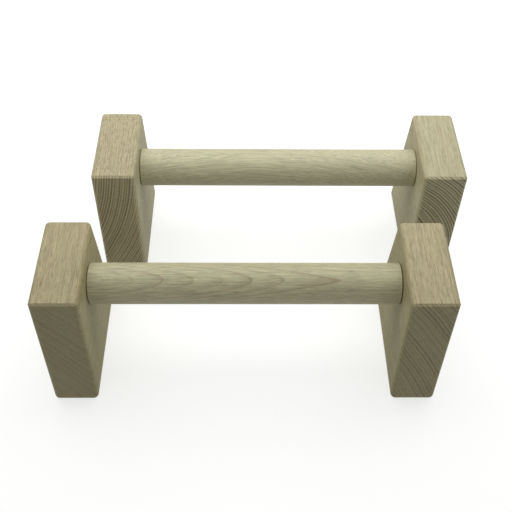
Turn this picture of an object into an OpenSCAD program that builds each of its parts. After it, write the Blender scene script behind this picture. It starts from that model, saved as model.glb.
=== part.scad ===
// Pair of low parallel bars (parallettes) for push-ups and hand balancing.
// Each stand is a round grip bar between two end blocks. A turned tenon at each end of the
// bar is glued into a blind hole in the block, and one wood screw draws the joint together.
// Millimetres. +X runs along the grips, +Y from the front stand to the rear one, +Z up.
// The origin is on the floor, at the middle of the pair.

/* [End blocks] */
// Thickness of an end block, along the grip
block_thickness = 39; // [34:1:46]
// Depth of an end block at its foot
foot_depth = 116; // [104:1:130]
// Depth of an end block at its top
top_depth = 86; // [60:1:102]
// Height of an end block
block_height = 125; // [118:1:150]
// Radius of the round-over all round the inner face and the outer face
edge_radius = 4.5; // [2:0.5:7]
// Width of the bevel on the short edges where the ends meet the top and the underside
corner_bevel = 1.75; // [0.5:0.25:3]

/* [Grips] */
// Diameter of a grip bar
grip_diameter = 35; // [30:1:38]
// Free length of a grip bar between its end blocks
grip_span = 260; // [200:5:320]
// Height of the grip's axis above the floor
grip_height = 95; // [85:1:97]
// Diameter of the round tenon at each end of a grip bar
tenon_diameter = 25; // [20:1:26]
// Length of tenon let into each end block
tenon_length = 22; // [16:1:24]
// Bevel on the shoulders of a grip bar
shoulder_bevel = 0.75; // [0.5:0.25:1.5]

/* [Joints] */
// Open joint between the shoulder of a grip bar and its end block
shoulder_gap = 0.3; // [0.1:0.1:1]
// Glue gap around a tenon
glue_gap = 0.15; // [0.05:0.05:0.3]
// Depth of the glue pocket behind a tenon
glue_pocket = 1; // [0.5:0.5:2]
// Bevel on the end of a tenon and on the mouth of its hole
tenon_bevel = 0.8; // [0.4:0.2:1.4]

/* [Screws] */
// Length of a wood screw
screw_length = 60; // [45:5:70]
// Diameter of the thread
thread_diameter = 5; // [4:0.5:6]
// Diameter of the thread's core
core_diameter = 3.4; // [2.6:0.2:3.8]
// Distance from one thread ridge to the next
thread_pitch = 2.6; // [2:0.2:4]
// Diameter of the countersunk head
head_diameter = 10; // [10:0.5:12]
// Depth of the head below the outer face of the block
head_sink = 0.3; // [0.1:0.1:1]
// Width of the six-lobed drive recess
drive_width = 5; // [4:0.5:5]
// Depth of the drive recess
drive_depth = 2.2; // [1.5:0.1:2.2]

/* [Arrangement] */
// Distance from the front grip to the rear grip
stand_spacing = 138; // [132:1:600]
// Sideways shift of the rear stand
sideways_shift = 31; // [0:1:60]

/* [Hidden] */
LEFT = -1;
RIGHT = 1;
BEECH_BLOCK = [0.80, 0.74, 0.60];
BEECH_BAR = [0.86, 0.80, 0.67];
STEEL = [0.75, 0.75, 0.77];
round_facets = 96;
lobe_facets = 32;
edge_steps = 8;
// Overlap that keeps a cutter clear of the face it starts from
cut = 1;
front_place = [-sideways_shift / 2, -stand_spacing / 2, 0];
rear_place = [sideways_shift / 2, stand_spacing / 2, 0];
inner_face_x = grip_span / 2;
outer_face_x = inner_face_x + block_thickness;
tenon_end_x = inner_face_x + tenon_length;
tenon_radius = tenon_diameter / 2;
bore_radius = tenon_radius + glue_gap;
bore_depth = tenon_length + glue_pocket;
head_radius = head_diameter / 2;
thread_radius = thread_diameter / 2;
core_radius = core_diameter / 2;
shank_radius = core_radius + 0.3;
clearance_radius = thread_radius + 0.25;
// Straight edge above the cone of a screw head
head_rim = 0.4;
// A 90 degree cone is as high as its radius drops
head_cone = head_radius - shank_radius;
// Room round a screw head in its countersink
sink_gap = 0.05;
tip_length = 6;
// What the plain shank passes through before it reaches the end of the tenon
tenon_end_depth = block_thickness - tenon_length;
plain_shank = tenon_end_depth + 4;
thread_turns = floor((screw_length - tip_length - plain_shank) / thread_pitch);
pilot_depth = screw_length + head_sink - tenon_end_depth;
// Depth of pilot hole left empty beyond the screw's tip
pilot_spare = 2;
// Half the width of a thread ridge at its root, as a share of the pitch
ridge_share = 0.22;
// Centre of the drive recess as a share of its width, and lobes as another
recess_core_share = 0.38;
recess_lobe_share = 0.125;

// Side outline of a block, deeper at the foot than at the top, drawn in Y and Z
module block_outline() {
    foot_y = foot_depth / 2;
    top_y = top_depth / 2;
    slant = corner_bevel * (foot_y - top_y) / block_height;
    right = [[foot_y - corner_bevel, 0], [foot_y - slant, corner_bevel],
             [top_y + slant, block_height - corner_bevel], [top_y - corner_bevel, block_height]];
    left = [for (step = [3 : -1 : 0]) [-right[step].x, right[step].y]];
    polygon(concat(right, left));
}

// Solid block: the wider a slab, the smaller its outline, which rounds the edges over
module block_blank() {
    rotate([90, 0, 90])
        hull()
            for (step = [0 : edge_steps]) {
                turn = 90 * step / edge_steps;
                half_width = block_thickness / 2 - edge_radius * (1 - sin(turn));
                linear_extrude(2 * half_width, center = true)
                    offset(delta = -edge_radius * (1 - cos(turn))) block_outline();
            }
}

// Blind hole with a bevelled mouth, along +X from the origin
module tenon_hole() {
    rotate([0, 90, 0]) {
        cylinder(h = bore_depth, r = bore_radius, $fn = round_facets);
        translate([0, 0, -cut])
            cylinder(h = cut + tenon_bevel, r1 = bore_radius + tenon_bevel + cut,
                     r2 = bore_radius, $fn = round_facets);
    }
}

// Countersunk clearance hole, along -X from the origin on the outer face
module screw_hole() {
    sink_radius = head_radius + sink_gap;
    sink_depth = head_sink + head_rim;
    rotate([0, -90, 0]) {
        translate([0, 0, -cut])
            cylinder(h = cut + sink_depth, r = sink_radius, $fn = round_facets);
        translate([0, 0, sink_depth])
            cylinder(h = sink_radius - clearance_radius, r1 = sink_radius,
                     r2 = clearance_radius, $fn = round_facets);
        cylinder(h = block_thickness, r = clearance_radius, $fn = round_facets);
    }
}

// Puts what is drawn for the right end at either end
module at_end(side) {
    mirror([side == LEFT ? 1 : 0, 0, 0]) children();
}

module end_block(side) {
    color(BEECH_BLOCK)
        at_end(side)
            difference() {
                translate([inner_face_x + block_thickness / 2, 0, 0]) block_blank();
                translate([inner_face_x, 0, grip_height]) tenon_hole();
                translate([outer_face_x, 0, grip_height]) screw_hole();
            }
}

// Half of a grip bar, from its middle at the origin to the end of its tenon
module half_bar() {
    radius = grip_diameter / 2;
    shoulder_x = inner_face_x - shoulder_gap;
    rotate([0, 90, 0])
        rotate_extrude($fn = round_facets)
            polygon([[0, 0], [radius, 0], [radius, shoulder_x - shoulder_bevel],
                     [radius - shoulder_bevel, shoulder_x], [tenon_radius, shoulder_x],
                     [tenon_radius, tenon_end_x - tenon_bevel],
                     [tenon_radius - tenon_bevel, tenon_end_x], [0, tenon_end_x]]);
}

// Pilot hole that the screw's thread bites into, along -X from the end of a tenon
module pilot_hole() {
    rotate([0, -90, 0])
        translate([0, 0, -cut])
            cylinder(h = cut + pilot_depth + pilot_spare, r = core_radius, $fn = round_facets);
}

module grip_bar() {
    color(BEECH_BAR)
        translate([0, 0, grip_height])
            difference() {
                for (side = [LEFT, RIGHT])
                    at_end(side) half_bar();
                for (side = [LEFT, RIGHT])
                    at_end(side) translate([tenon_end_x, 0, 0]) pilot_hole();
            }
}

// Six-lobed socket in the head of a screw
module drive_recess() {
    lobe_radius = drive_width * recess_lobe_share;
    translate([0, 0, -cut]) {
        cylinder(h = cut + drive_depth, r = drive_width * recess_core_share, $fn = round_facets);
        for (turn = [0 : 60 : 300])
            rotate(turn)
                translate([drive_width / 2 - lobe_radius, 0, 0])
                    cylinder(h = cut + drive_depth, r = lobe_radius, $fn = lobe_facets);
    }
}

// Ridge of the thread, drawn as a ring
module thread_ridge() {
    ridge_height = thread_pitch * ridge_share;
    cylinder(h = ridge_height, r1 = core_radius, r2 = thread_radius, $fn = round_facets);
    translate([0, 0, ridge_height])
        cylinder(h = ridge_height, r1 = thread_radius, r2 = core_radius, $fn = round_facets);
}

// Wood screw, its head at the origin and its tip along +Z
module wood_screw() {
    difference() {
        union() {
            cylinder(h = head_rim, r = head_radius, $fn = round_facets);
            translate([0, 0, head_rim])
                cylinder(h = head_cone, r1 = head_radius, r2 = shank_radius, $fn = round_facets);
            cylinder(h = plain_shank, r = shank_radius, $fn = round_facets);
            cylinder(h = screw_length - tip_length, r = core_radius, $fn = round_facets);
            translate([0, 0, screw_length - tip_length])
                cylinder(h = tip_length, r1 = core_radius, r2 = 0, $fn = round_facets);
            for (turn = [0 : thread_turns - 1])
                translate([0, 0, plain_shank + turn * thread_pitch]) thread_ridge();
        }
        drive_recess();
    }
}

module end_screw(side) {
    color(STEEL)
        at_end(side)
            translate([outer_face_x - head_sink, 0, grip_height])
                rotate([0, -90, 0]) wood_screw();
}

translate(front_place) end_block(LEFT);  // front_left_block
translate(front_place) end_block(RIGHT);  // front_right_block
translate(front_place) grip_bar();  // front_grip_bar
translate(front_place) end_screw(LEFT);  // front_left_screw
translate(front_place) end_screw(RIGHT);  // front_right_screw
translate(rear_place) end_block(LEFT);  // rear_left_block
translate(rear_place) end_block(RIGHT);  // rear_right_block
translate(rear_place) grip_bar();  // rear_grip_bar
translate(rear_place) end_screw(LEFT);  // rear_left_screw
translate(rear_place) end_screw(RIGHT);  // rear_right_screw
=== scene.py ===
import math
from dataclasses import dataclass

import bmesh
import bpy
from mathutils import Matrix, Vector


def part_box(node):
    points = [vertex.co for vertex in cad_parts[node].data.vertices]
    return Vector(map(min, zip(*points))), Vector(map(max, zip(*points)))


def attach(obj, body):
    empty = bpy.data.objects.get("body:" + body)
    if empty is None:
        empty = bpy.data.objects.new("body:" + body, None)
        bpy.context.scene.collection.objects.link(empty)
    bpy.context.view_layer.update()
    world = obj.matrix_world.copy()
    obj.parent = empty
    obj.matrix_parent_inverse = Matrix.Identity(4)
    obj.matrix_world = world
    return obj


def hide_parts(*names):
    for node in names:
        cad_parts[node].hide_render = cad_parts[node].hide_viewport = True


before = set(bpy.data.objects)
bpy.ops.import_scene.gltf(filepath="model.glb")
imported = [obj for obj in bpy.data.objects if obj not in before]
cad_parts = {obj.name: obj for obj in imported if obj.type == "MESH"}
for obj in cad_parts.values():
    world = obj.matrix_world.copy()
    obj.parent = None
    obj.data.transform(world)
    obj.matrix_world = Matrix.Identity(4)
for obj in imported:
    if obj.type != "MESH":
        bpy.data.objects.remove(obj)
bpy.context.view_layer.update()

MM = 0.001
SIDES = {"left": -1, "right": 1}

# Sizes of the CAD model that its boxes don't give
FOOT_DEPTH = 116 * MM
TOP_DEPTH = 86 * MM
EDGE_RADIUS = 4.5 * MM
CORNER_BEVEL = 1.75 * MM
TENON_RADIUS = 12.5 * MM
TENON_BEVEL = 0.8 * MM
SHOULDER_BEVEL = 0.75 * MM
SHOULDER_GAP = 0.3 * MM
GLUE_GAP = 0.15 * MM
GLUE_POCKET = 1 * MM
PILOT_RADIUS = 1.7 * MM
PILOT_DEPTH = 45.3 * MM
CLEARANCE_RADIUS = 2.75 * MM
SINK_RADIUS = 5.05 * MM
SINK_DEPTH = 0.7 * MM

# How far a cutter starts outside the face it cuts
OVERCUT = 1 * MM

# How finely the pieces are built
ARRIS = 0.15 * MM
SUPPORT = 3.5 * MM
SOFT_STEPS = 4
ARC_STEPS = 14
ROUND_STEPS = 144
HOLE_STEPS = 72
SHARP_ANGLE = math.radians(32)
WELD = 0.001 * MM

# The floor, in metres
FLOOR_RADIUS = 6
FLOOR_STEPS = 96
FLOOR_GLOW = 0.66

# The photograph's camera: lens in millimetres, place in metres from the middle of the pair
LENS = 51.7
CAMERA_PLACE = Vector((-0.0155, -0.4358, 0.5939))
CAMERA_TILT = math.radians(38.47)
CAMERA_YAW = math.radians(-1.35)
CAMERA_ROLL = math.radians(1.15)


# ---------------------------------------------------------------- meshes

def softened(outline, reach=ARRIS):
    """An open outline with each of its inner corners turned into a short curve."""
    points = [Vector(outline[0])]
    for before, corner, after in zip(outline, outline[1:], outline[2:]):
        corner = Vector(corner)
        start = corner + (Vector(before) - corner).normalized() * reach
        end = corner + (Vector(after) - corner).normalized() * reach
        for step in range(SOFT_STEPS + 1):
            share = step / SOFT_STEPS
            points.append(start.lerp(corner, share).lerp(corner.lerp(end, share), share))
    points.append(Vector(outline[-1]))
    return points


def joined_rings(mesh, rings):
    """Faces between neighbouring rings of points. A ring of one point closes to a tip."""
    for near, far in zip(rings, rings[1:]):
        count = max(len(near), len(far))
        for i in range(count):
            j = (i + 1) % count
            corners = [near[i % len(near)], near[j % len(near)], far[j % len(far)], far[i % len(far)]]
            mesh.faces.new(list(dict.fromkeys(corners)))


def made_object(name, mesh):
    """An object of the finished bmesh, with outward normals."""
    bmesh.ops.recalc_face_normals(mesh, faces=mesh.faces)
    data = bpy.data.meshes.new(name)
    mesh.to_mesh(data)
    mesh.free()
    made = bpy.data.objects.new(name, data)
    bpy.context.scene.collection.objects.link(made)
    return made


def lathed(name, outline, steps):
    """A solid of revolution about X. The outline runs from axis to axis as (x, radius)."""
    mesh = bmesh.new()
    rings = []
    for x, radius in outline:
        turns = [0] if radius == 0 else [math.tau * i / steps for i in range(steps)]
        rings.append([mesh.verts.new((x, radius * math.cos(t), radius * math.sin(t))) for t in turns])
    joined_rings(mesh, rings)
    return made_object(name, mesh)


def frozen(made):
    """The object with its modifiers applied."""
    bpy.context.view_layer.update()
    shown = made.evaluated_get(bpy.context.evaluated_depsgraph_get())
    made.data = bpy.data.meshes.new_from_object(shown)
    made.data.name = made.name
    made.modifiers.clear()
    return made


def carved(solid, cutters):
    """The solid with the cutters' shapes taken away."""
    for cutter in cutters:
        cut = solid.modifiers.new("cut", "BOOLEAN")
        cut.operation = "DIFFERENCE"
        cut.solver = "EXACT"
        cut.object = cutter
    frozen(solid)
    for cutter in cutters:
        bpy.data.objects.remove(cutter)
    return solid


def shaded(made):
    """Smooth curves, flat faces and sharp corners, as on machined wood."""
    mesh = bmesh.new()
    mesh.from_mesh(made.data)
    bmesh.ops.remove_doubles(mesh, verts=mesh.verts, dist=WELD)
    for face in mesh.faces:
        face.smooth = True
    for edge in mesh.edges:
        edge.smooth = edge.calc_face_angle(math.pi) < SHARP_ANGLE
    mesh.to_mesh(made.data)
    mesh.free()
    weighted = made.modifiers.new("flat_faces", "WEIGHTED_NORMAL")
    weighted.keep_sharp = True
    return frozen(made)


# ---------------------------------------------------------------- end blocks

@dataclass
class BlockSize:
    """Where an end block stands, from the middle of its underside, and how big it is."""
    foot: Vector
    thickness: float
    height: float

    def slope(self):
        """How much half the depth shrinks with height."""
        return (FOOT_DEPTH - TOP_DEPTH) / 2 / self.height

    def half_depth(self, z):
        """Half the depth at a height above the underside."""
        return FOOT_DEPTH / 2 - self.slope() * z

    def face(self, direction):
        """X of the large face that looks in this direction."""
        return self.foot.x + direction * self.thickness / 2


def block_size(node):
    """Place and size of an end block, from the box of its CAD node."""
    low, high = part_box(node)
    foot = Vector(((low.x + high.x) / 2, (low.y + high.y) / 2, low.z))
    return BlockSize(foot, high.x - low.x, high.z - low.z)


def bevelled_corner(corner, before, after, setback):
    """Points round one bevelled corner, with the bevel's own arrises softened."""
    back = (before - corner).normalized()
    ahead = (after - corner).normalized()
    bevel = [corner + back * SUPPORT, corner + back * setback,
             corner + ahead * setback, corner + ahead * SUPPORT]
    # Less than half the bevel, so that the curves at its two ends don't meet
    return softened(bevel, min(ARRIS, setback * 0.45))


def block_section(size, inset):
    """The side outline of a block in Y and Z, moved inward by the inset."""
    side_shift = inset * math.hypot(1, size.slope())
    corners = [Vector((side * (size.half_depth(z) - side_shift), z))
               for side, z in ((1, inset), (1, size.height - inset),
                               (-1, size.height - inset), (-1, inset))]
    # A bevel moved inward gets narrower, until nothing but a softened corner is left
    setback = max(CORNER_BEVEL - inset * (2 - math.sqrt(2)), ARRIS)
    points = []
    for i, corner in enumerate(corners):
        points += bevelled_corner(corner, corners[i - 1], corners[(i + 1) % 4], setback)
    return points


def block_blank(name, size):
    """The whole block, lofted from one large face to the other, with both rounded over."""
    inner_half = size.thickness / 2 - EDGE_RADIUS
    stations = [(inner_half - SUPPORT, 0)]
    for step in range(ARC_STEPS + 1):
        turn = math.radians(90) * step / ARC_STEPS
        stations.append((inner_half + EDGE_RADIUS * math.sin(turn), EDGE_RADIUS * (1 - math.cos(turn))))
    stations.append((size.thickness / 2, EDGE_RADIUS + SUPPORT))
    mesh = bmesh.new()
    rings = []
    for x, inset in [(-x, inset) for x, inset in reversed(stations)] + stations:
        rings.append([mesh.verts.new(size.foot + Vector((x, *point)))
                      for point in block_section(size, inset)])
    joined_rings(mesh, rings)
    mesh.faces.new(rings[0])
    mesh.faces.new(rings[-1])
    return made_object(name, mesh)


def facing_x(direction):
    """Half a turn about Z for a shape that has to face -X instead of +X."""
    return Matrix.Diagonal((direction, direction, 1, 1))


def tenon_hole(size, side, axis_height, depth):
    """Cutter for the blind hole in the inner face, with its bevelled mouth."""
    radius = TENON_RADIUS + GLUE_GAP
    hole = lathed("tenon_hole", [(-OVERCUT, 0), (-OVERCUT, radius + TENON_BEVEL + OVERCUT),
                                 (TENON_BEVEL, radius), (depth, radius), (depth, 0)], HOLE_STEPS)
    hole.data.transform(facing_x(side))
    hole.data.transform(Matrix.Translation((size.face(-side), size.foot.y, axis_height)))
    return hole


def screw_hole(size, side, axis_height):
    """Cutter for the countersunk hole in the outer face."""
    cone_end = SINK_DEPTH + SINK_RADIUS - CLEARANCE_RADIUS
    hole = lathed("screw_hole", [(-OVERCUT, 0), (-OVERCUT, SINK_RADIUS), (SINK_DEPTH, SINK_RADIUS),
                                 (cone_end, CLEARANCE_RADIUS), (size.thickness, CLEARANCE_RADIUS),
                                 (size.thickness, 0)], HOLE_STEPS)
    hole.data.transform(facing_x(-side))
    hole.data.transform(Matrix.Translation((size.face(side), size.foot.y, axis_height)))
    return hole


def end_block(stand, side_name):
    """One end block of solid beech."""
    node = f"{stand}_{side_name}_block"
    side = SIDES[side_name]
    size = block_size(node)
    bar_low, bar_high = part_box(f"{stand}_grip_bar")
    axis_height = (bar_low.z + bar_high.z) / 2
    bar_end = bar_high.x if side > 0 else bar_low.x
    depth = abs(bar_end - size.face(-side)) + GLUE_POCKET
    blank = block_blank(node + "_wood", size)
    block = shaded(carved(blank, [tenon_hole(size, side, axis_height, depth),
                                  screw_hole(size, side, axis_height)]))
    return block, node


# ---------------------------------------------------------------- grip bars

def half_span(stand):
    """Half the free length of a stand's grip bar, between its two end blocks."""
    return (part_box(f"{stand}_right_block")[0].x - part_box(f"{stand}_left_block")[1].x) / 2


def grip_bar(stand):
    """One turned grip bar, with a shoulder, a tenon and a pilot hole at each end."""
    node = f"{stand}_grip_bar"
    low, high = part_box(node)
    radius = (high.z - low.z) / 2
    end = (high.x - low.x) / 2
    shoulder = half_span(stand) - SHOULDER_GAP
    half = softened([(end - PILOT_DEPTH, PILOT_RADIUS), (end, PILOT_RADIUS),
                     (end, TENON_RADIUS - TENON_BEVEL), (end - TENON_BEVEL, TENON_RADIUS),
                     (shoulder, TENON_RADIUS),
                     (shoulder, radius - SHOULDER_BEVEL), (shoulder - SHOULDER_BEVEL, radius),
                     (shoulder - SHOULDER_BEVEL - SUPPORT, radius)])
    pilot_tip = end - PILOT_DEPTH - PILOT_RADIUS
    right_half = [(pilot_tip, 0), *half]
    left_half = [(-x, r) for x, r in reversed(right_half)]
    bar = lathed(node + "_wood", right_half + left_half, ROUND_STEPS)
    bar.data.transform(Matrix.Translation((low + high) / 2))
    return shaded(bar), node


# ---------------------------------------------------------------- materials

class Graph:
    """Builds the nodes of one material. Values are numbers, colours or other nodes' outputs."""

    def __init__(self, name):
        self.material = bpy.data.materials.new(name)
        self.material.use_nodes = True
        self.tree = self.material.node_tree
        self.shader = self.tree.nodes["Principled BSDF"]

    def feed(self, socket, value):
        if isinstance(value, bpy.types.NodeSocket):
            self.tree.links.new(value, socket)
        else:
            socket.default_value = value

    def node(self, kind, *values, **settings):
        node = self.tree.nodes.new("ShaderNode" + kind)
        for key, value in settings.items():
            setattr(node, key, value)
        for socket, value in zip(node.inputs, values):
            self.feed(socket, value)
        return node

    def math(self, operation, *values):
        return self.node("Math", *values, operation=operation).outputs[0]

    def vector(self, x, y, z):
        return self.node("CombineXYZ", x, y, z).outputs[0]

    def ranged(self, value, low, high, at_low, at_high, ease="LINEAR"):
        """Goes from at_low to at_high while the value goes from low to high, and stays there."""
        ends = (low, high, at_low, at_high)
        return self.node("MapRange", value, *ends, interpolation_type=ease).outputs[0]

    def step(self, value, low, high, at_low=0.0, at_high=1.0):
        """The same, with a gentle start and a gentle stop."""
        return self.ranged(value, low, high, at_low, at_high, "SMOOTHSTEP")

    def noise(self, vector, detail=2.0, roughness=0.5):
        """Soft random values in space, about one hill to each unit of length."""
        noise = self.node("TexNoise", vector)
        noise.inputs["Scale"].default_value = 1.0
        noise.inputs["Detail"].default_value = detail
        noise.inputs["Roughness"].default_value = roughness
        return noise.outputs[0]

    def noise_along(self, value, detail=1.0):
        """Soft random values along one number."""
        noise = self.node("TexNoise", noise_dimensions="1D")
        self.feed(noise.inputs["W"], value)
        noise.inputs["Scale"].default_value = 1.0
        noise.inputs["Detail"].default_value = detail
        return noise.outputs[0]

    def blend(self, share, first, second):
        """A mix of two colours, whose sockets on the node come after those for numbers."""
        mix = self.node("Mix", data_type="RGBA")
        self.feed(mix.inputs[0], share)
        self.feed(mix.inputs[6], first)
        self.feed(mix.inputs[7], second)
        return mix.outputs[2]

    def scaled(self, vector, factor):
        """A vector or a colour times a number."""
        scale = self.node("VectorMath", vector, operation="SCALE")
        self.feed(scale.inputs["Scale"], factor)
        return scale.outputs[0]

    def bump(self, height, strength, distance):
        """Gives the surface the relief of a height that goes from 0 to 1."""
        bump = self.node("Bump")
        bump.inputs["Strength"].default_value = strength
        bump.inputs["Distance"].default_value = distance
        self.feed(bump.inputs["Height"], height)
        self.feed(self.shader.inputs["Normal"], bump.outputs[0])


# Figure of beech, in millimetres: lengths along the grain, and widths across it
STREAK_LENGTH = 30
STREAK_WIDTH = 0.5
PORE_WIDTH = 0.4
BAND_LENGTH = 160
BAND_WIDTH = 7
BLOTCH_SIZE = 16
WANDER_LENGTH = 120
WANDER_WIDTH = 34
# Two sizes of ray: reach away from the pith, width, length, and the share of places with one
RAYS = ((1.3, 1.3, 5.5, 0.5), (0.8, 0.8, 3.2, 0.6))
# Distance from the middle of a ray, in shares of its size, at which it comes in and is full
RAY_EDGE = (0.5, 0.12)
# A year goes from 0 to 1: where late wood is darkest, where its thin line comes in, where it ends
LATE_PEAK = 0.93
LINE_START = (0.84, 0.94)
YEAR_END = (1.0, 0.96)
# How fast the ring spacing changes from one year to the next
SPACING_CHANGE = 0.55
# Range of the pore noise over which a pore appears
PORE_RANGE = (0.53, 0.67)
# What the darkest and the palest streak and blotch do to the colour, and how much paler the edges get,
# by wear, and on the blocks also by a painted highlight
STREAK_TONE = (0.77, 1.3)
BLOTCH_TONE = (0.97, 1.04)
PALER_EDGE_TONE = 1.1
# Millimetres over which the paler edge comes in: wear and painted highlight from a block's edge, wear
# from a shoulder; and over which the painted shadow in a joint comes in
WORN_AND_HIGHLIT_EDGE = (2.2, 0.5)
WORN_SHOULDER = (3.0, 0.6)
# Painted shadow in the narrow joint gap next to a shoulder
JOINT_SHADOW_BAND = (1.1, 0.5)
# Share of a fleck's depth that is left in the pale early wood
EARLY_FLECKS = 0.6
WOOD_ROUGHNESS = (0.5, 0.66)
WOOD_RELIEF = 0.12 * MM
STREAK_HEIGHT = 0.7
RAY_HEIGHT = -0.3
LATE_HEIGHT = 0.25

# Zinc-plated steel: two shades, lathe lines to the millimetre and their depth, size of its bloom
ZINC = (0.47, 0.47, 0.48, 1)
DULL_ZINC = (0.36, 0.36, 0.34, 1)
LATHE_LINES = 9
LATHE_DEPTH = 0.03 * MM
BLOOM_SIZE = MM / 0.7


@dataclass
class Timber:
    """How one piece was sawn from its tree. Lengths are millimetres from the piece's middle.

    along is the axis of the grain, and pith is where the middle of the tree would be on the
    two other axes. The tree bends by bow times the square of the distance from bow_at. taper
    is spacing, limit and roundness: it adds a ring for every spacing along the grain, up to
    the limit, which makes a tongue-shaped figure. line is the share of a ring's darkness that
    is drawn as a thin line at its end, and first_year picks the run of strong and weak rings.
    A depth is how strongly its feature shows, and ring_vary how much the rings differ. The
    flank tint is painted light and shade on the faces across X, and the end grain's tone holds its
    own darkness together with painted light and shade. The last pair is how dark the painted
    shadow in the joint is at the left and the right shoulder of a bar.
    """
    along: int
    pith: tuple
    bow: float = 0.0
    bow_at: float = 0.0
    ring: float = 3.0
    ring_shift: float = 0.0
    ring_depth: float = 0.5
    ring_wander: float = 1.2
    ring_vary: float = 0.65
    late_from: float = 0.3
    line: float = 0.0
    first_year: int = 0
    taper: tuple = ()
    light: tuple = (0.43, 0.385, 0.235, 1)
    warm: tuple = (0.43, 0.37, 0.235, 1)
    late: tuple = (0.20, 0.165, 0.10, 1)
    # Painted light and shade on the faces across X
    painted_flank_light: tuple = (1.0, 1.0, 1.0)
    fleck: tuple = (0.25, 0.185, 0.11, 1)
    fleck_depth: float = 0.45
    pore_depth: float = 0.35
    pore_length: float = 9
    # The end grain's own darkness together with painted light and shade on the end faces
    end_tone_and_painted_light: float = 0.85
    end_ring_depth: float = 0.8
    sheen: float = 0.12
    # How dark the painted shadow in the joint is at the left and the right shoulder
    joint_shadow_depths: tuple = (0.0, 0.0)


def grain_space(g, timber, middle):
    """Millimetres along the grain and from the pith, how much the face is end grain, and how much it is
    a flank across X, which gets painted light and shade.
    """
    place = g.node("TexCoord").outputs
    from_middle = g.node("VectorMath", place["Object"], middle, operation="SUBTRACT").outputs[0]
    in_mm = g.scaled(from_middle, 1 / MM)
    axes = g.node("SeparateXYZ", in_mm).outputs
    facing = g.node("SeparateXYZ", place["Normal"]).outputs
    along = axes[timber.along]
    from_bend = g.math("POWER", g.math("ABSOLUTE", g.math("SUBTRACT", along, timber.bow_at)), 2)
    across = []
    for axis, pith in zip([i for i in range(3) if i != timber.along], timber.pith):
        bent = g.math("MULTIPLY_ADD", from_bend, timber.bow, axes[axis])
        across.append(g.math("SUBTRACT", bent, pith))
    end = g.step(g.math("ABSOLUTE", facing[timber.along]), 0.4, 0.9)
    # Faces across X, which get painted light and shade
    painted_flank_light = g.step(g.math("ABSOLUTE", facing[0]), 0.3, 0.9)
    return axes, along, across, end, painted_flank_light


def ring_number(g, timber, along, across):
    """Year rings counted out from the pith, which wander a little, and the distance from it."""
    wander_at = g.vector(g.math("DIVIDE", along, WANDER_LENGTH),
                         g.math("DIVIDE", across[0], WANDER_WIDTH),
                         g.math("DIVIDE", across[1], WANDER_WIDTH))
    swing = g.math("SUBTRACT", g.noise(wander_at), 0.5)
    wander = g.math("MULTIPLY", swing, 2 * timber.ring_wander)
    offset = g.node("VectorMath", g.vector(across[0], across[1], 0), operation="LENGTH")
    radius = offset.outputs["Value"]
    rings = g.math("DIVIDE", g.math("ADD", radius, wander), timber.ring)
    rings = g.math("ADD", rings, timber.ring_shift)
    if timber.taper:
        spacing, limit, roundness = timber.taper
        extra = g.math("SMOOTH_MIN", g.math("DIVIDE", along, spacing), limit, roundness)
    else:
        extra = g.noise_along(g.math("MULTIPLY", rings, SPACING_CHANGE))
    return g.math("ADD", rings, extra), radius


def late_wood(g, timber, rings):
    """Darkness of the late wood at the end of each year ring."""
    season = g.math("FRACT", rings)
    broad = g.math("MULTIPLY", g.step(season, timber.late_from, LATE_PEAK), 1 - timber.line)
    line = g.math("MULTIPLY", g.step(season, *LINE_START), timber.line)
    growth = g.math("MULTIPLY", g.math("ADD", broad, line), g.step(season, *YEAR_END))
    strength = g.node("TexWhiteNoise", noise_dimensions="1D")
    g.feed(strength.inputs["W"], g.math("ADD", g.math("FLOOR", rings), timber.first_year))
    weakest = 1 - timber.ring_vary
    return g.math("MULTIPLY", growth, g.step(strength.outputs[0], 0.0, 1.0, weakest, 1.0))


def ray_flecks(g, timber, along, across, radius):
    """Wood rays: thin sheets that run out from the pith, seen as dashes, flecks or lines."""
    typical = math.hypot(*timber.pith)
    turn = g.math("MULTIPLY", g.math("ARCTAN2", across[1], across[0]), typical)
    masks = []
    for reach, width, length, share in RAYS:
        cell_at = g.vector(g.math("DIVIDE", radius, reach), g.math("DIVIDE", turn, width),
                           g.math("DIVIDE", along, length))
        cells = g.node("TexVoronoi", cell_at)
        cells.inputs["Scale"].default_value = 1.0
        mask = g.step(cells.outputs["Distance"], *RAY_EDGE)
        chance = g.node("SeparateXYZ", cells.outputs["Color"]).outputs[0]
        masks.append(g.math("MULTIPLY", mask, g.step(chance, 1 - share, 1.0)))
    return g.math("MAXIMUM", *masks)


def fibres(g, along, across, length, width, detail=3.0):
    """Fine streaks along the grain, which turn into pores on end grain."""
    streak_at = g.vector(g.math("DIVIDE", along, length), g.math("DIVIDE", across[0], width),
                         g.math("DIVIDE", across[1], width))
    return g.noise(streak_at, detail, roughness=0.6)


def block_edge_wear_and_highlight(g, axes, size):
    """Tone near the edges of a block: paler, partly as wear and partly as a painted highlight along the
    arrises.
    """
    x, y, z = axes
    to_side = g.math("SUBTRACT", size.thickness / 2 / MM, g.math("ABSOLUTE", x))
    to_top = g.math("SUBTRACT", size.height / 2 / MM, g.math("ABSOLUTE", z))
    half_depth = g.math("MULTIPLY_ADD", z, -size.slope(), size.half_depth(size.height / 2) / MM)
    to_end = g.math("SUBTRACT", half_depth, g.math("ABSOLUTE", y))
    nearer = g.math("MINIMUM", to_side, to_top)
    farther = g.math("MAXIMUM", to_side, to_top)
    to_edge = g.math("MAXIMUM", nearer, g.math("MINIMUM", farther, to_end))
    # Paler by wear, and by a painted highlight along the arrises
    return g.step(to_edge, *WORN_AND_HIGHLIT_EDGE, 1.0, PALER_EDGE_TONE)


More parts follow.
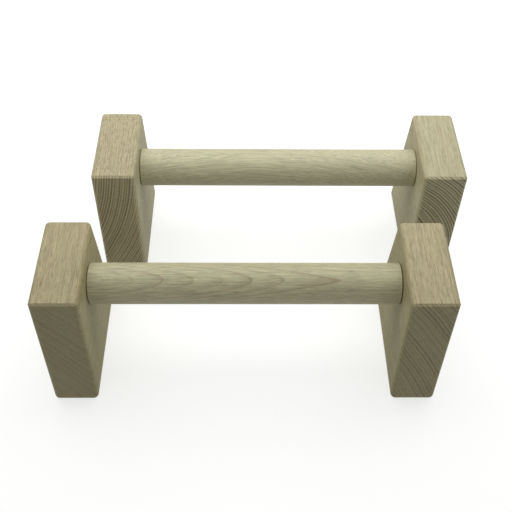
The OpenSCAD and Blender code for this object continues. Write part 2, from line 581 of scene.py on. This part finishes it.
def shoulder_tone(g, axes, shoulder, joint_shadow_depths):
    """Tone near the shoulders of a grip bar: worn a little paler, with a painted shadow line in the
    joint.
    """
    to_shoulder = g.math("SUBTRACT", shoulder / MM, g.math("ABSOLUTE", axes[0]))
    paler_edge = g.step(to_shoulder, *WORN_SHOULDER, 1.0, PALER_EDGE_TONE)
    depth = g.step(axes[0], -1.0, 1.0, *joint_shadow_depths)
    # Painted shadow in the narrow gap of the joint at the shoulder
    joint_shadow = g.math("MULTIPLY", g.step(to_shoulder, *JOINT_SHADOW_BAND), depth)
    return g.math("MULTIPLY", paler_edge, g.math("SUBTRACT", 1.0, joint_shadow))


def wood_colour(g, timber, bands, late, rays, end, painted_flank_light):
    """Bands of two shades, with the late wood, the rays, and painted light and shade on the flanks
    across X.
    """
    colour = g.blend(g.step(bands, 0.35, 0.65), timber.light, timber.warm)
    ring_share = g.ranged(end, 0, 1, timber.ring_depth, timber.end_ring_depth)
    colour = g.blend(g.math("MULTIPLY", late, ring_share), colour, timber.late)
    early_depth = EARLY_FLECKS * timber.fleck_depth
    fleck_share = g.ranged(late, 0, 1, early_depth, timber.fleck_depth)
    colour = g.blend(g.math("MULTIPLY", rays, fleck_share), colour, timber.fleck)
    # Painted light and shade on the faces across X: darker on the front stand, paler on the rear one
    tinted = g.node("VectorMath", colour, timber.painted_flank_light, operation="MULTIPLY").outputs[0]
    return g.blend(painted_flank_light, colour, tinted)


def wood_tone(g, timber, streaks, pores, blotches, end):
    """Lighter and darker streaks, pores and blotches, and the tone of the end grain: its own darkness
    together with painted light and shade.
    """
    tone = g.ranged(streaks, 0.3, 0.7, *STREAK_TONE)
    tone = g.math("MULTIPLY", tone, g.math("MULTIPLY_ADD", pores, -timber.pore_depth, 1.0))
    tone = g.math("MULTIPLY", tone, g.ranged(blotches, 0.3, 0.7, *BLOTCH_TONE))
    # End grain: its own darkness, with painted shade on the front stand's end faces and painted light
    # on the rear stand's
    return g.math("MULTIPLY", tone, g.ranged(end, 0, 1, 1, timber.end_tone_and_painted_light))


def wood_surface(g, timber, streaks, rays, late, wear_and_painted_light):
    """Roughness and relief of the sanded wood, a little smoother where edges are paler by wear and
    painted highlight, and rougher in the painted shadow of a joint.
    """
    roughness = g.ranged(streaks, 0.2, 0.8, *WOOD_ROUGHNESS)
    paler_edge = g.math("MULTIPLY_ADD", wear_and_painted_light, 0.5, -0.5)
    roughness = g.math("SUBTRACT", roughness, paler_edge)
    roughness = g.math("SUBTRACT", roughness, g.math("MULTIPLY", rays, 0.05))
    g.feed(g.shader.inputs["Roughness"], roughness)
    g.shader.inputs["Specular IOR Level"].default_value = timber.sheen
    relief = g.math("MULTIPLY", streaks, STREAK_HEIGHT)
    relief = g.math("ADD", relief, g.math("MULTIPLY", rays, RAY_HEIGHT))
    relief = g.math("ADD", relief, g.math("MULTIPLY", late, LATE_HEIGHT))
    g.bump(relief, 0.5, WOOD_RELIEF)


def beech(name, timber, middle, wear_and_painted_light_of):
    """Sanded, untreated beech."""
    g = Graph(name)
    axes, along, across, end, painted_flank_light = grain_space(g, timber, middle)
    rings, radius = ring_number(g, timber, along, across)
    late = late_wood(g, timber, rings)
    rays = ray_flecks(g, timber, along, across, radius)
    streaks = fibres(g, along, across, STREAK_LENGTH, STREAK_WIDTH)
    pores = g.step(fibres(g, along, across, timber.pore_length, PORE_WIDTH, 1.0), *PORE_RANGE)
    bands = fibres(g, along, across, BAND_LENGTH, BAND_WIDTH, 1.0)
    blotches = g.noise(g.scaled(g.vector(*axes), 1 / BLOTCH_SIZE))
    wear_and_painted_light = wear_and_painted_light_of(g, axes)
    colour = wood_colour(g, timber, bands, late, rays, end, painted_flank_light)
    # Paler edges of worn wood, with a painted highlight on the blocks and a painted shadow in a bar's
    # joint
    tone = g.math("MULTIPLY", wood_tone(g, timber, streaks, pores, blotches, end), wear_and_painted_light)
    g.feed(g.shader.inputs["Base Color"], g.scaled(colour, tone))
    wood_surface(g, timber, streaks, rays, late, wear_and_painted_light)
    return g.material


def screw_steel(axis_y, axis_z):
    """Turned, zinc-plated steel with a faint bloom, for screws along X at axis_y and -axis_y."""
    g = Graph("screw_steel")
    axes = g.node("SeparateXYZ", g.node("TexCoord").outputs["Object"]).outputs
    off_y = g.math("SUBTRACT", g.math("ABSOLUTE", axes[1]), axis_y)
    off_z = g.math("SUBTRACT", axes[2], axis_z)
    off_axis = g.node("VectorMath", g.vector(off_y, off_z, 0), operation="LENGTH")
    radius = g.math("DIVIDE", off_axis.outputs["Value"], MM)
    turned = g.noise_along(g.math("MULTIPLY", radius, LATHE_LINES), 3.0)
    bloom = g.noise(g.scaled(g.vector(axes[0], off_y, off_z), 1 / BLOOM_SIZE), 3.0)
    colour = g.blend(g.step(bloom, 0.35, 0.7), ZINC, DULL_ZINC)
    g.feed(g.shader.inputs["Base Color"], g.scaled(colour, g.ranged(turned, 0.2, 0.8, 0.9, 1.1)))
    g.shader.inputs["Metallic"].default_value = 1.0
    roughness = g.ranged(g.math("ADD", turned, bloom), 0.6, 1.4, 0.26, 0.48)
    g.feed(g.shader.inputs["Roughness"], roughness)
    g.bump(turned, 0.4, LATHE_DEPTH)
    return g.material


# ---------------------------------------------------------------- the pieces

GRAIN_X = 0
GRAIN_Y = 1
# The flank tints and end grain tones below hold painted light and shade: darker on the front stand,
# paler on the rear one
TIMBERS = {
    "front_left_block": Timber(GRAIN_Y, (-330, -250), ring=5.5, ring_depth=0.2, end_ring_depth=0.24,
                               ring_vary=0.9,
                               light=(0.44, 0.39, 0.235, 1), warm=(0.45, 0.38, 0.235, 1),
                               painted_flank_light=(0.91, 0.92, 0.83), end_tone_and_painted_light=0.76),
    "front_right_block": Timber(GRAIN_Y, (-360, -225), ring=3.0, ring_depth=0.2, end_ring_depth=0.65,
                                late_from=0.15,
                                light=(0.475, 0.42, 0.26, 1), warm=(0.475, 0.405, 0.255, 1),
                                painted_flank_light=(0.83, 0.84, 0.74), end_tone_and_painted_light=0.79),
    "rear_left_block": Timber(GRAIN_Y, (-200, 84), ring=2.3, ring_depth=0.15, end_ring_depth=0.85,
                              ring_vary=0.4, late_from=0.15,
                              light=(0.455, 0.405, 0.255, 1), warm=(0.455, 0.39, 0.255, 1),
                              late=(0.11, 0.09, 0.055, 1), fleck_depth=0.85,
                              pore_length=6, pore_depth=0.4, painted_flank_light=(1.08, 1.13, 1.13), end_tone_and_painted_light=1.2),
    "rear_right_block": Timber(GRAIN_Y, (-63, -29), ring=2.5, ring_depth=0.1, end_ring_depth=1.0,
                               ring_vary=0.35, late_from=0.15,
                               light=(0.455, 0.425, 0.28, 1), warm=(0.455, 0.405, 0.27, 1),
                               late=(0.11, 0.09, 0.055, 1), fleck_depth=0.35, pore_depth=0.25,
                               painted_flank_light=(1.04, 1.04, 0.98), end_tone_and_painted_light=1.2),
    "front_grip_bar": Timber(GRAIN_X, (-37.6, 70.4), ring=3.0, ring_shift=-0.06, ring_depth=0.85,
                             ring_wander=0.45, ring_vary=0.9, late_from=0.35, line=0.5, first_year=2023,
                             taper=(24.2, 2.33, 2.4),
                             fleck_depth=0.3, pore_depth=0.3, pore_length=10,
                             light=(0.51, 0.48, 0.31, 1), warm=(0.51, 0.47, 0.305, 1),
                             late=(0.35, 0.28, 0.175, 1), fleck=(0.34, 0.28, 0.17, 1), sheen=0.5,
                             # Painted shadow in the joint at the right shoulder
                             joint_shadow_depths=(0.0, 0.7)),
    "rear_grip_bar": Timber(GRAIN_X, (47, 37), bow=0.0007, bow_at=-24, ring=2.0, ring_depth=0.4,
                            ring_wander=0.6, fleck_depth=0.35, pore_depth=0.25, pore_length=16,
                            light=(0.535, 0.505, 0.34, 1), warm=(0.525, 0.49, 0.335, 1),
                            late=(0.38, 0.33, 0.21, 1), fleck=(0.32, 0.26, 0.16, 1), sheen=0.35),
}


def finished(piece, node, stand, material):
    """The piece in its material, standing for its CAD node and moving with its stand."""
    piece.data.materials.clear()
    piece.data.materials.append(material)
    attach(piece, stand + "_stand")
    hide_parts(node)


def build_blocks(stand):
    """Both end blocks of a stand, each from its own timber."""
    for side_name in SIDES:
        piece, node = end_block(stand, side_name)
        size = block_size(node)
        middle = size.foot + Vector((0, 0, size.height / 2))
        material = beech(node + "_beech", TIMBERS[node], middle,
                         lambda g, axes: block_edge_wear_and_highlight(g, axes, size))
        finished(piece, node, stand, material)


def build_grip(stand):
    """The grip bar of a stand, from its own timber."""
    piece, node = grip_bar(stand)
    low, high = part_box(node)
    material = beech(node + "_beech", TIMBERS[node], (low + high) / 2,
                     lambda g, axes: shoulder_tone(g, axes, half_span(stand), TIMBERS[node].joint_shadow_depths))
    finished(piece, node, stand, material)


def dress_screws():
    """Steel for the screws, which keep their CAD shape."""
    low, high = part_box("rear_grip_bar")
    axis = (low + high) / 2
    steel = screw_steel(axis.y, axis.z)
    for name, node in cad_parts.items():
        if name.endswith("_screw"):
            node.data.materials.clear()
            node.data.materials.append(steel)


# ---------------------------------------------------------------- the set

def make_camera():
    """The camera, where the photograph was taken from."""
    data = bpy.data.cameras.new("camera")
    data.lens = LENS
    camera = bpy.data.objects.new("camera", data)
    bpy.context.scene.collection.objects.link(camera)
    turn = (Matrix.Rotation(CAMERA_YAW, 4, "Z") @ Matrix.Rotation(CAMERA_TILT, 4, "X")
            @ Matrix.Rotation(CAMERA_ROLL, 4, "Z"))
    camera.matrix_world = Matrix.Translation(CAMERA_PLACE) @ turn
    bpy.context.scene.camera = camera


def make_floor():
    """A wide floor that glows to look white, and throws no diffuse light on the pieces."""
    mesh = bmesh.new()
    bmesh.ops.create_circle(mesh, cap_ends=True, segments=FLOOR_STEPS, radius=FLOOR_RADIUS)
    floor = made_object("floor", mesh)
    g = Graph("floor_paint")
    g.shader.inputs["Base Color"].default_value = (0.5, 0.5, 0.5, 1)
    g.shader.inputs["Emission Color"].default_value = (1, 1, 1, 1)
    g.shader.inputs["Emission Strength"].default_value = FLOOR_GLOW
    g.shader.inputs["Roughness"].default_value = 0.9
    g.shader.inputs["Specular IOR Level"].default_value = 0.1
    floor.data.materials.append(g.material)
    floor.visible_diffuse = False


def make_light(name, place, target, size, power):
    """A large soft lamp, in metres and watts, which the camera doesn't see."""
    data = bpy.data.lights.new(name, "AREA")
    data.shape = "RECTANGLE"
    data.size, data.size_y = size
    data.energy = power
    light = bpy.data.objects.new(name, data)
    bpy.context.scene.collection.objects.link(light)
    light.location = place
    light.visible_camera = False
    light.rotation_euler = (Vector(target) - Vector(place)).to_track_quat("-Z", "Y").to_euler()


def make_world(ambient, backdrop):
    """Dim even light from all round, behind a pale backdrop."""
    world = bpy.data.worlds.new("studio")
    world.use_nodes = True
    bpy.context.scene.world = world
    tree = world.node_tree
    even = tree.nodes["Background"]
    even.inputs["Color"].default_value = ambient
    pale = tree.nodes.new("ShaderNodeBackground")
    pale.inputs["Color"].default_value = backdrop
    seen = tree.nodes.new("ShaderNodeLightPath")
    mix = tree.nodes.new("ShaderNodeMixShader")
    tree.links.new(seen.outputs["Is Camera Ray"], mix.inputs[0])
    tree.links.new(even.outputs[0], mix.inputs[1])
    tree.links.new(pale.outputs[0], mix.inputs[2])
    tree.links.new(mix.outputs[0], tree.nodes["World Output"].inputs[0])


make_camera()
make_floor()
make_light("softbox", place=(0.0, 0.37, 0.6), target=(0, 0.495, 0), size=(1.6, 0.8), power=6.8)
make_world(ambient=(0.38, 0.39, 0.365, 1), backdrop=(0.95, 0.95, 0.95, 1))
bpy.context.scene.view_settings.view_transform = "Standard"
for stand in ("front", "rear"):
    build_blocks(stand)
    build_grip(stand)
dress_screws()
